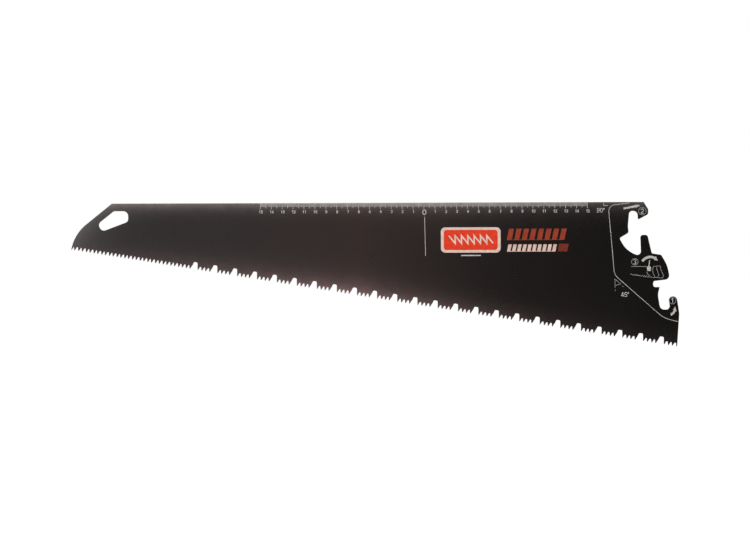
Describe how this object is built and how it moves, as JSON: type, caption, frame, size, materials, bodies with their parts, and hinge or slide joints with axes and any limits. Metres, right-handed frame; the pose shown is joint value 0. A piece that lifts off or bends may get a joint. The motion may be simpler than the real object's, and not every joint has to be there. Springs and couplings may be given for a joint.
{
  "type": "drywall saw blade",
  "caption": "Interchangeable hand saw blade for drywall and plaster: tapered coated plate with dust gullets, hang hole and hooked tang.",
  "frame": {"origin": "a point on the flat printed side of the tang's tongue, 201.5 mm towards the heel from the zero of the printed scale and 42 mm below the spine", "axes": "+X along the spine from the toe to the heel, +Y through the plate from the printed side to the plain side, +Z from the teeth to the spine"},
  "size_m": [0.5575, 0.0011, 0.1327],
  "materials": {
    "black_coat": "semi-gloss black low-friction coat on spring steel, with bare ground tooth flanks",
    "pale_ink": "screen-printed pale grey ink, satin",
    "grey_ink": "thin screen-printed grey ink, satin",
    "cream_ink": "screen-printed cream ink, satin",
    "pink_ink": "screen-printed pinkish white ink, satin",
    "orange_ink": "screen-printed orange-red ink, satin",
    "title_ink": "thin screen-printed orange-red ink, satin",
    "dull_ink": "thin screen-printed dull orange ink, satin"
  },
  "bodies": {
    "root": {"blade_plate": "black_coat", "scale_comb": "pale_ink", "zero_numeral": "pale_ink", "zero_line": "pale_ink", "badge_panel": "cream_ink", "badge_field": "orange_ink", "badge_teeth": "cream_ink", "badge_rule": "pale_ink", "title_bars_upper": "title_ink", "title_bars_lower": "pink_ink", "title_block": "dull_ink", "handle_edge_line": "pale_ink", "square_mark": "pale_ink", "mitre_mark": "grey_ink", "step_ring_1": "grey_ink", "step_ring_2": "grey_ink", "step_ring_3": "grey_ink", "step_digit_1": "pale_ink", "step_digit_2": "pale_ink", "step_digit_3": "pale_ink", "heel_arrow": "pale_ink", "hook_arrow": "pale_ink", "lever_arrow": "pale_ink", "drawn_spine": "grey_ink", "drawn_teeth": "grey_ink", "drawn_lever": "pale_ink", "drawn_grip": "grey_ink", "drawn_grip_slot": "grey_ink"}
  },
  "joints": []
}
